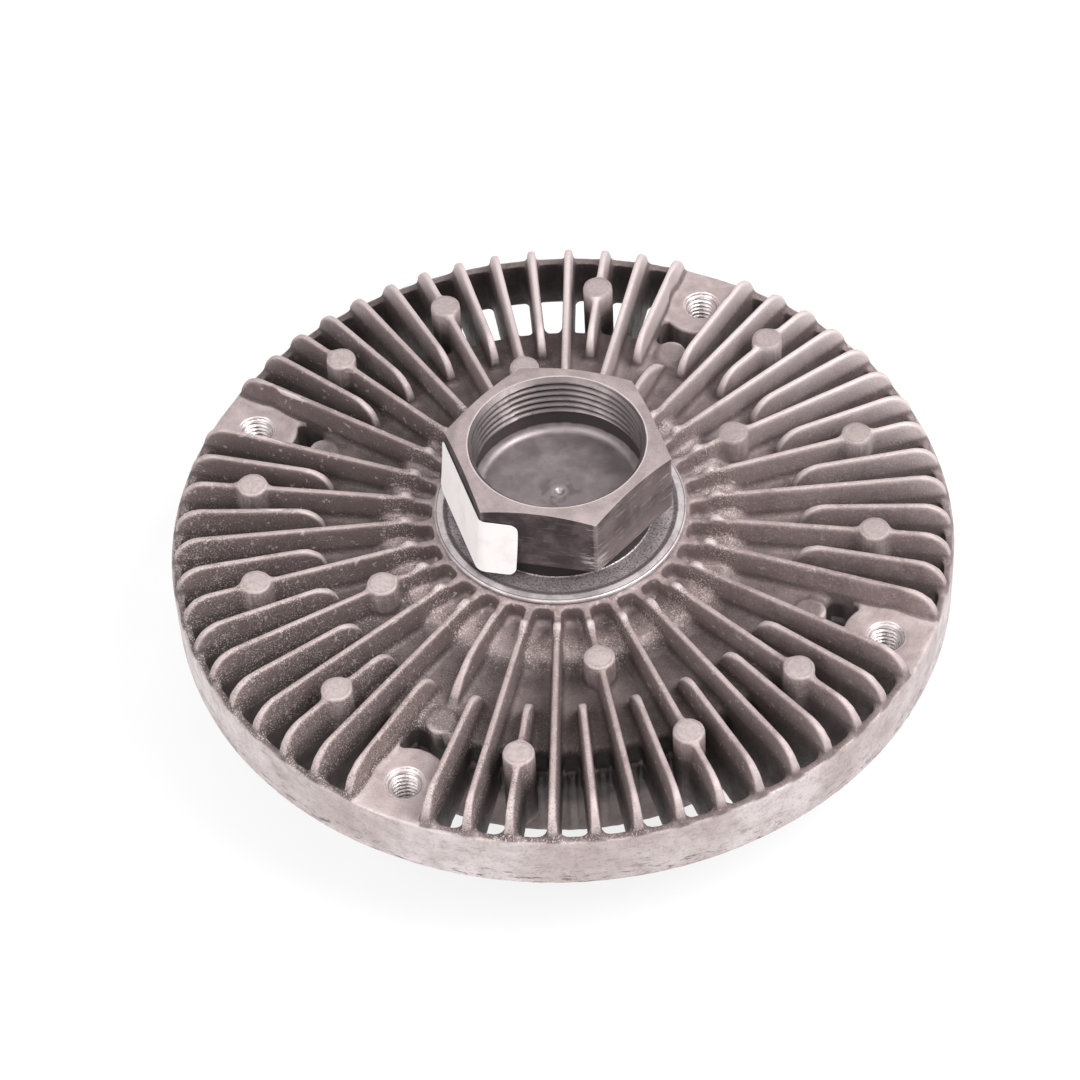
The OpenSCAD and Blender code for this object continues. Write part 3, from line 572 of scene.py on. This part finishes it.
def rolled_steel(name, tone, roughness, grain):
    """Rolled or turned metal with fine streaks, stains and dull patches."""
    material, tree, shader = blank_material(name)
    where = object_coordinates(tree)
    drawn_out = add_node(tree, "ShaderNodeMapping", Vector=where, Scale=grain).outputs["Vector"]
    streak = noise(tree, drawn_out, 900.0)
    patch = noise(tree, where, 180.0, 6.0)
    stained = tuple(0.55 * part for part in tone)
    bright = tuple(1.3 * part for part in tone)
    colour = paint(tree, between(tree, patch, 0.4, 0.7, 0.0, 0.6), tone, stained)
    colour = paint(tree, between(tree, streak, 0.5, 0.7, 0.0, 0.3), colour, bright)
    tree.links.new(colour, shader.inputs["Base Color"])
    shader.inputs["Metallic"].default_value = 0.9
    tree.links.new(between(tree, patch, 0.3, 0.7, roughness, roughness + 0.2), shader.inputs["Roughness"])
    tree.links.new(bump(tree, streak, 0.00005, 0.25), shader.inputs["Normal"])
    return material


soften_edges(strip, STRIP_BEVEL)
strip.data.materials.append(rolled_steel("bimetal_rolled", STRIP_TONE, 0.35, (0.1, 1.0, 1.0)))
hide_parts("bimetal_strip")
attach(strip, "housing")
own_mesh(strip)

# Dust shield: a pressed steel ring on the shaft's neck that covers the bearing.
# Its face is pitted and stained, and its rolled lip is worn bright with a painted highlight, beside a slope
# painted darker as shade.
SHIELD_BEVEL = 0.0002
SHIELD_DARK = (0.30, 0.255, 0.262)
SHIELD_LIGHT = (0.46, 0.40, 0.41)
SHIELD_PIT = (0.10, 0.082, 0.085)
SHIELD_GLINT = (0.60, 0.53, 0.54)
SHIELD_SLOPE = (0.16, 0.13, 0.138)
SHIELD_LIP_WEAR_AND_HIGHLIGHT = (0.66, 0.60, 0.61)
SHIELD_CREASE = (0.10, 0.08, 0.084)
shield = copy_of_solid("dust_shield", "dust_shield_pressed")
shield_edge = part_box("dust_shield")[1].x
soften_edges(shield, SHIELD_BEVEL, 3, 20)


def speckled_steel():
    """Grey steel with dark speckle, rings of painted shade at its bends and a lip that is worn bright with
    a painted highlight.
    """
    material, tree, shader = blank_material("shield_speckled")
    where = object_coordinates(tree)
    parts = add_node(tree, "ShaderNodeSeparateXYZ", Vector=where)
    radius = length_of(tree, parts.outputs["X"], parts.outputs["Y"])
    speck = noise(tree, where, 2300.0, 4.0, 0.75)
    patch = noise(tree, where, 260.0, 5.0)
    colour = paint(tree, between(tree, patch, 0.35, 0.65), SHIELD_DARK, SHIELD_LIGHT)
    colour = paint(tree, between(tree, speck, 0.51, 0.58, 0.0, 0.85), colour, SHIELD_PIT)
    colour = paint(tree, between(tree, speck, 0.42, 0.34, 0.0, 0.6), colour, SHIELD_GLINT)
    slant = times(tree, between(tree, radius, shield_edge - 0.0027, shield_edge - 0.0023),
                  between(tree, radius, shield_edge - 0.0014, shield_edge - 0.0018))
    colour = paint(tree, times(tree, slant, 0.5), colour, SHIELD_SLOPE)
    # The lip's bright band is wear with a painted highlight
    lip_wear_and_highlight = times(tree, between(tree, radius, shield_edge - 0.0017, shield_edge - 0.0014),
                 between(tree, patch, 0.36, 0.58, 0.45, 0.95))
    colour = paint(tree, lip_wear_and_highlight, colour, SHIELD_LIP_WEAR_AND_HIGHLIGHT)
    crease = times(tree, between(tree, radius, shield_edge - 0.0005, shield_edge - 0.0004),
                   between(tree, radius, shield_edge - 0.00022, shield_edge - 0.0003))
    colour = paint(tree, times(tree, crease, 0.8), colour, SHIELD_CREASE)
    tree.links.new(colour, shader.inputs["Base Color"])
    shader.inputs["Metallic"].default_value = 0.7
    tree.links.new(between(tree, speck, 0.3, 0.7, 0.38, 0.6), shader.inputs["Roughness"])
    tree.links.new(bump(tree, speck, 0.00012, 0.4), shader.inputs["Normal"])
    return material


shield.data.materials.append(speckled_steel())
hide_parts("dust_shield")
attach(shield, "shaft")

# Drive shaft: hexagon nut, neck and journal, forged in one and turned; dark on the flats, machined on top.
# The bore is opened to the thread's root, and the thread is its own ring inside.
NUT_THREAD_CREST = 0.0152
NUT_THREAD_ROOT = 0.0158
NUT_THREAD_PITCH = 0.0015
NUT_THREAD_LENGTH = 0.0083
NUT_MOUTH = 0.016
NUT_MOUTH_DEPTH = 0.0008
NUT_THREAD_WALL = 0.00022
NUT_THREAD_SEGMENTS = 144
NUT_THREAD_TONE = (0.17, 0.142, 0.144)
NUT_HEIGHT = 0.0136
NUT_CORNER_TURN = 14.3
NUT_BEVEL = 0.00025
REAMER_SEGMENTS = 192
REAMER_SLACK = 0.0002
REAMER_EXTRA = 0.002
NUT_DARK = (0.062, 0.048, 0.05)
NUT_OXIDE = (0.15, 0.117, 0.12)
NUT_RUBBED_AND_LIT = (0.24, 0.195, 0.19)
NUT_SCRATCH = (0.60, 0.53, 0.53)
NUT_EDGE = (0.42, 0.36, 0.36)
NUT_GOUGE = (0.70, 0.65, 0.65)
TOP_DULL = (0.215, 0.173, 0.169)
TOP_CLEAN = (0.29, 0.237, 0.233)
TOP_STAIN = (0.19, 0.15, 0.147)
TOP_GLINT = (0.55, 0.48, 0.475)
TOP_RING_HIGHLIGHT = (0.58, 0.51, 0.505)
BORE_DULL = (0.25, 0.208, 0.215)
BORE_CLEAN = (0.33, 0.28, 0.288)
BORE_WALL_SHADE = (0.07, 0.058, 0.06)
BORE_SPECK = (0.045, 0.036, 0.038)
BORE_GREASE = (0.13, 0.10, 0.105)
BORE_CENTRE = (0.5, 0.44, 0.445)
NECK_SHADE = (0.02, 0.016, 0.016)
nut = copy_of_solid("drive_shaft", "drive_nut")
nut_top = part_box("drive_shaft")[1].z
nut_low = nut_top - NUT_HEIGHT
thread_low = nut_top - NUT_THREAD_LENGTH
bpy.ops.object.select_all(action="DESELECT")
bpy.ops.mesh.primitive_cylinder_add(vertices=REAMER_SEGMENTS, radius=NUT_THREAD_ROOT + REAMER_SLACK,
                                    depth=NUT_THREAD_LENGTH + REAMER_EXTRA,
                                    location=(0, 0, thread_low + NUT_THREAD_LENGTH / 2 + REAMER_EXTRA / 2))
reamer = bpy.context.object
finish_modifier(nut, "BOOLEAN", operation="DIFFERENCE", object=reamer, solver="EXACT")
bpy.data.objects.remove(reamer)
soften_edges(nut, NUT_BEVEL, 3, 50)


def nut_steel():
    """Dark oxidised flats with bright scratches, a taupe machined top and a satin grey bore floor."""
    material, tree, shader = blank_material("nut_dark_steel")
    where = object_coordinates(tree)
    parts = add_node(tree, "ShaderNodeSeparateXYZ", Vector=where)
    height = parts.outputs["Z"]
    radius = length_of(tree, parts.outputs["X"], parts.outputs["Y"])
    patch = noise(tree, where, 230.0, 6.0, 0.65)
    speck = noise(tree, where, 1500.0, 4.0, 0.7)
    fine = noise(tree, where, 5200.0, 2.0)
    faces = add_node(tree, "ShaderNodeNewGeometry")
    outside = between(tree, radius, 0.0166, 0.0168)
    colour = paint(tree, between(tree, patch, 0.35, 0.7), NUT_DARK, NUT_OXIDE)
    # Spanner scratches, thickest by two corners
    slanted = add_node(tree, "ShaderNodeMapping", Vector=where, Rotation=(0.45, 0.3, 0.0),
                       Scale=(0.16, 0.16, 1.5)).outputs["Vector"]
    scratch = noise(tree, slanted, 1000.0, 6.0, 0.75)
    gouged_corner = along(tree, parts, NUT_CORNER_TURN - 60)
    worn = maths(tree, "MAXIMUM", between(tree, gouged_corner, 0.0188, 0.0206),
                 between(tree, along(tree, parts, NUT_CORNER_TURN), 0.0165, 0.0206, 0.0, 0.8))
    # One flat is painted lighter and scratched more, partly worn metal and partly painted light
    rubbed_and_lit_flat = between(tree, along(tree, parts, NUT_CORNER_TURN - 30), 0.0174, 0.0178)
    worn = maths(tree, "MAXIMUM", worn, between(tree, rubbed_and_lit_flat, 0.0, 1.0, 0.16, 0.5))
    rubbed_and_lit_flat = times(tree, rubbed_and_lit_flat, between(tree, patch, 0.3, 0.65, 0.3, 0.8))
    colour = paint(tree, rubbed_and_lit_flat, colour, NUT_RUBBED_AND_LIT)
    colour = paint(tree, times(tree, between(tree, scratch, 0.55, 0.66), worn), colour, NUT_SCRATCH)
    # Turned top and chamfer, told apart from the flats by their slope
    slope = add_node(tree, "ShaderNodeSeparateXYZ", Vector=faces.outputs["Normal"]).outputs["Z"]
    on_top = times(tree, between(tree, slope, 0.4, 0.6),
                   between(tree, height, nut_top - 0.004, nut_top - 0.0035))
    top_tone = paint(tree, between(tree, patch, 0.35, 0.7), TOP_DULL, TOP_CLEAN)
    top_tone = paint(tree, between(tree, speck, 0.56, 0.68, 0.0, 0.5), top_tone, TOP_STAIN)
    top_tone = paint(tree, between(tree, fine, 0.62, 0.70, 0.0, 0.4), top_tone, TOP_GLINT)
    # A painted highlight rings the bore's edge on the top
    top_tone = paint(tree, between(tree, radius, 0.0164, 0.0162, 0.0, 0.5), top_tone, TOP_RING_HIGHLIGHT)
    colour = paint(tree, on_top, colour, top_tone)
    # The bore's floor is satin, with walls darkened as painted shade, specks, a smear of grease and a
    # bright centre mark
    inside = times(tree, between(tree, radius, 0.0167, 0.0165),
                   between(tree, height, nut_low - 0.002, nut_low - 0.001))
    floor_tone = paint(tree, between(tree, patch, 0.35, 0.7), BORE_DULL, BORE_CLEAN)
    floor_tone = paint(tree, between(tree, slope, 0.35, 0.2), floor_tone, BORE_WALL_SHADE)
    floor_tone = paint(tree, between(tree, speck, 0.68, 0.72, 0.0, 0.9), floor_tone, BORE_SPECK)
    grease = times(tree, between(tree, radius, 0.0055, 0.003), between(tree, patch, 0.42, 0.56), 0.75)
    floor_tone = paint(tree, grease, floor_tone, BORE_GREASE)
    in_bore = times(tree, inside, between(tree, height, nut_top - 0.001, nut_top - 0.002))
    colour = paint(tree, in_bore, colour, floor_tone)
    spot = between(tree, radius, 0.0019, 0.0012, 0.0, 0.35)
    colour = paint(tree, times(tree, spot, inside), colour, BORE_CENTRE)
    # Corners of the hexagon are rubbed
    corner = maths(tree, "ABSOLUTE", along(tree, parts, NUT_CORNER_TURN))
    for step in (60, 120):
        next_corner = maths(tree, "ABSOLUTE", along(tree, parts, NUT_CORNER_TURN + step))
        corner = maths(tree, "MAXIMUM", corner, next_corner)
    edge = times(tree, between(tree, corner, 0.0204, 0.0207), between(tree, patch, 0.3, 0.6, 0.05, 0.4))
    colour = paint(tree, edge, colour, NUT_EDGE)
    # One gouge low on a worn corner
    gouge = times(tree, between(tree, gouged_corner, 0.0190, 0.0204),
                  between(tree, height, nut_low + 0.0065, nut_low + 0.0035),
                  between(tree, scratch, 0.5, 0.57), 0.85)
    colour = paint(tree, times(tree, gouge, outside), colour, NUT_GOUGE)
    # The neck stands in the shadow of the hexagon and is painted near black as painted shade
    neck_shade = times(tree, outside, between(tree, height, nut_low + 0.0002, nut_low - 0.0002), 0.95)
    colour = paint(tree, neck_shade, colour, NECK_SHADE)
    tree.links.new(colour, shader.inputs["Base Color"])
    tree.links.new(between(tree, on_top, 0.0, 1.0, 0.6, 0.2), shader.inputs["Metallic"])
    dull = between(tree, patch, 0.3, 0.7, 0.38, 0.55)
    tree.links.new(maths(tree, "ADD", dull, times(tree, on_top, 0.2)), shader.inputs["Roughness"])
    normal = bump(tree, speck, 0.0001, 0.25)
    tree.links.new(bump(tree, scratch, 0.00012, 0.2, normal), shader.inputs["Normal"])
    return material


nut.data.materials.append(nut_steel())
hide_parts("drive_shaft")
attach(nut, "shaft")

nut_thread = threaded_sleeve("nut_thread", NUT_THREAD_CREST, NUT_THREAD_ROOT, NUT_THREAD_PITCH, thread_low,
                             nut_top - 0.00002, NUT_MOUTH, NUT_THREAD_ROOT + NUT_THREAD_WALL,
                             NUT_THREAD_SEGMENTS)
nut_thread.data.materials.append(cut_thread("nut_thread_steel", NUT_THREAD_TONE, NUT_THREAD_CREST,
                                            NUT_THREAD_ROOT, nut_top - NUT_MOUTH_DEPTH, False))
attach(nut_thread, "shaft")

# Blank label: a white paper sticker with round corners, pressed round one corner of the nut.
# It covers one flat and a third of the next. Its lower edge stands off a little, and the paper is soiled.
LABEL_LENGTH = 0.0284
LABEL_LOW = -0.0018
LABEL_HIGH = 0.0101
LABEL_CORNER = 0.0016
LABEL_FOLD = 0.0216
LABEL_FLARE = 0.0012
LABEL_BEND = 0.0015
LABEL_STAND = 0.00028
LABEL_T = 0.0001
LABEL_COLUMNS = 96
LABEL_ROWS = 36
LABEL_WHITE = (0.80, 0.757, 0.752)
LABEL_SOILED = (0.70, 0.652, 0.645)
LABEL_FLECK = (0.36, 0.32, 0.31)
NUT_FLAT = 0.018
HALF_CORNER = math.pi / 6
bpy.ops.object.select_all(action="DESELECT")
bpy.ops.mesh.primitive_grid_add(x_subdivisions=LABEL_COLUMNS, y_subdivisions=LABEL_ROWS, size=1.0)
label = bpy.context.object
label.name = "blank_label"
label_mid = Vector((LABEL_LENGTH / 2, (LABEL_HIGH - LABEL_LOW) / 2))
fold_turn = math.radians(NUT_CORNER_TURN + 240)
fold_way = Vector((math.cos(fold_turn), math.sin(fold_turn)))
for vertex in label.data.vertices:
    spot = Vector((vertex.co.x * LABEL_LENGTH, vertex.co.y * (LABEL_HIGH - LABEL_LOW)))
    over = Vector((abs(spot.x) - label_mid.x + LABEL_CORNER, abs(spot.y) - label_mid.y + LABEL_CORNER))
    if over.x > 0 and over.y > 0 and over.length > LABEL_CORNER:
        over = over.normalized() * LABEL_CORNER
        spot.x = math.copysign(label_mid.x - LABEL_CORNER + over.x, spot.x)
        spot.y = math.copysign(label_mid.y - LABEL_CORNER + over.y, spot.y)
    run = spot.x + label_mid.x - LABEL_FOLD
    flare = LABEL_FLARE * (0.5 - spot.y / (2 * label_mid.y)) ** 1.5
    bend = LABEL_BEND + flare
    swing = max(-HALF_CORNER, min(HALF_CORNER, run / bend))
    past = run - swing * bend
    middle = (NUT_FLAT + LABEL_STAND + flare - bend) / math.cos(HALF_CORNER)
    out = Vector((math.cos(fold_turn + swing), math.sin(fold_turn + swing)))
    base = middle * fold_way + bend * out + past * Vector((-out.y, out.x))
    vertex.co = (base.x, base.y, nut_low + (LABEL_LOW + LABEL_HIGH) / 2 + spot.y)
finish_modifier(label, "SOLIDIFY", thickness=LABEL_T, offset=0.0)
pick(label)
bpy.ops.object.mode_set(mode="EDIT")
bpy.ops.mesh.select_all(action="SELECT")
bpy.ops.mesh.normals_make_consistent(inside=False)
bpy.ops.object.mode_set(mode="OBJECT")
bpy.ops.object.shade_smooth_by_angle(angle=SMOOTH_BELOW)


def label_paper():
    """White coated paper, soiled in patches and flecked with dust."""
    material, tree, shader = blank_material("label_white_paper")
    where = object_coordinates(tree)
    patch = noise(tree, where, 240.0, 5.0)
    fibre = noise(tree, where, 2600.0, 3.0)
    colour = paint(tree, between(tree, patch, 0.45, 0.75), LABEL_WHITE, LABEL_SOILED)
    colour = paint(tree, between(tree, fibre, 0.68, 0.74, 0.0, 0.5), colour, LABEL_FLECK)
    tree.links.new(colour, shader.inputs["Base Color"])
    tree.links.new(between(tree, patch, 0.3, 0.7, 0.4, 0.55), shader.inputs["Roughness"])
    tree.links.new(bump(tree, fibre, 0.00003, 0.3), shader.inputs["Normal"])
    return material


label.data.materials.append(label_paper())
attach(label, "shaft")

# Inner pieces: bearing, rotor, plate, valve and seals keep their solids and get their own finishes.
# The steel is ground or pressed, the rotor is turned aluminium and the seals are black rubber.
INNER_FINISHES = (
    (rolled_steel("bearing_ground_steel", (0.60, 0.60, 0.61), 0.15, (1.0, 1.0, 0.1)),
     ("bearing_outer_race", "bearing_inner_race", "bearing_balls", "valve_pin")),
    (rolled_steel("pressed_steel", (0.48, 0.47, 0.45), 0.32, (1.0, 1.0, 0.3)),
     ("separator_plate", "valve_leaf", "valve_rivet", "fill_plug", "cage_half_rear", "cage_half_front",
      "cage_rivets")),
    (rolled_steel("turned_aluminium", (0.66, 0.66, 0.65), 0.3, (1.0, 1.0, 0.1)), ("rotor",)),
)
for finish, names in INNER_FINISHES:
    for name in names:
        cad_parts[name].data.materials.clear()
        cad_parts[name].data.materials.append(finish)


RUBBER_BLACK = (0.018, 0.018, 0.018)
RUBBER_BLOOM = (0.05, 0.05, 0.05)


def seal_rubber():
    """Matte black rubber with a faint bloom."""
    material, tree, shader = blank_material("seal_black_rubber")
    bloom = noise(tree, object_coordinates(tree), 600.0)
    colour = paint(tree, between(tree, bloom, 0.4, 0.8), RUBBER_BLACK, RUBBER_BLOOM)
    tree.links.new(colour, shader.inputs["Base Color"])
    shader.inputs["Roughness"].default_value = 0.7
    tree.links.new(bump(tree, bloom, 0.00005, 0.3), shader.inputs["Normal"])
    return material


black_rubber = seal_rubber()
for name in ("cover_seal", "pin_seal", "bearing_seal_rear", "bearing_seal_front"):
    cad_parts[name].data.materials.clear()
    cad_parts[name].data.materials.append(black_rubber)

# Studio: a pale floor under soft light, seen from the photo's viewpoint.
# The floor shows almost white to the camera and keeps a faint shadow.
FLOOR_GLOW = 0.8
FLOOR_SIZE = 8.0
FLOOR_TONE = (0.85, 0.85, 0.85, 1)
WHITE = (1, 1, 1, 1)
WORLD_LIGHT = 0.8
LAMPS = (("key", (0.62, 0.06, 0.85), 0.6, 13.0), ("fill", (-0.32, -0.86, 0.8), 0.9, 9.4))
LAMP_AIM = Vector((0, 0, 0.03))
bpy.ops.object.select_all(action="DESELECT")
bpy.ops.mesh.primitive_plane_add(size=FLOOR_SIZE, location=(0, 0, 0))
floor = bpy.context.object
floor.name = "studio_floor"
floor_material, floor_tree, floor_shader = blank_material("studio_floor")
floor_shader.inputs["Base Color"].default_value = FLOOR_TONE
floor_shader.inputs["Roughness"].default_value = 0.9
rays = floor_tree.nodes.new("ShaderNodeLightPath")
seen = maths(floor_tree, "MAXIMUM", rays.outputs["Is Glossy Ray"], rays.outputs["Is Transmission Ray"])
seen = maths(floor_tree, "MAXIMUM", rays.outputs["Is Camera Ray"], seen)
glow = add_node(floor_tree, "ShaderNodeEmission", Strength=1.0)
glow.inputs["Color"].default_value = WHITE
blend = floor_tree.nodes.new("ShaderNodeMixShader")
floor_tree.links.new(maths(floor_tree, "MULTIPLY", seen, FLOOR_GLOW), blend.inputs[0])
floor_tree.links.new(floor_shader.outputs["BSDF"], blend.inputs[1])
floor_tree.links.new(glow.outputs["Emission"], blend.inputs[2])
floor_tree.links.new(blend.outputs["Shader"], floor_tree.nodes["Material Output"].inputs["Surface"])
floor.data.materials.append(floor_material)

world = bpy.data.worlds.new("studio")
bpy.context.scene.world = world
world.use_nodes = True
world.node_tree.nodes["Background"].inputs["Color"].default_value = WHITE
world.node_tree.nodes["Background"].inputs["Strength"].default_value = WORLD_LIGHT

for name, place, size, power in LAMPS:
    lamp = bpy.data.lights.new(name, "AREA")
    lamp.size = size
    lamp.energy = power
    lamp_object = bpy.data.objects.new(name, lamp)
    lamp_object.location = place
    lamp_object.rotation_euler = (LAMP_AIM - Vector(place)).to_track_quat("-Z", "Y").to_euler()
    bpy.context.scene.collection.objects.link(lamp_object)

CAMERA_TURN = math.radians(28)
CAMERA_RISE = math.radians(48.38)
CAMERA_ROLL = math.radians(3.427)
CAMERA_DISTANCE = 0.65437
CAMERA_ASIDE = -0.004086
CAMERA_ABOVE = -0.001685
CAMERA_LENS = 118.42
CAMERA_SENSOR = 36.0
turn = Matrix.Rotation(CAMERA_TURN, 3, "Z")
right = turn @ Vector((1, 0, 0))
up = turn @ Vector((0, math.sin(CAMERA_RISE), math.cos(CAMERA_RISE)))
ahead = turn @ Vector((0, math.cos(CAMERA_RISE), -math.sin(CAMERA_RISE)))
eye = Vector((0, 0, rim_top)) + CAMERA_ASIDE * right + CAMERA_ABOVE * up - CAMERA_DISTANCE * ahead
side = math.cos(CAMERA_ROLL) * right - math.sin(CAMERA_ROLL) * up
head = math.sin(CAMERA_ROLL) * right + math.cos(CAMERA_ROLL) * up
lens = bpy.data.cameras.new("photo_camera")
lens.sensor_width = CAMERA_SENSOR
lens.lens = CAMERA_LENS
lens.clip_start = 0.01
camera = bpy.data.objects.new("photo_camera", lens)
axes = Matrix((side, head, -ahead)).transposed()
camera.matrix_world = Matrix.Translation(eye) @ axes.to_4x4()
bpy.context.scene.collection.objects.link(camera)
bpy.context.scene.camera = camera
bpy.context.scene.view_settings.view_transform = "Standard"
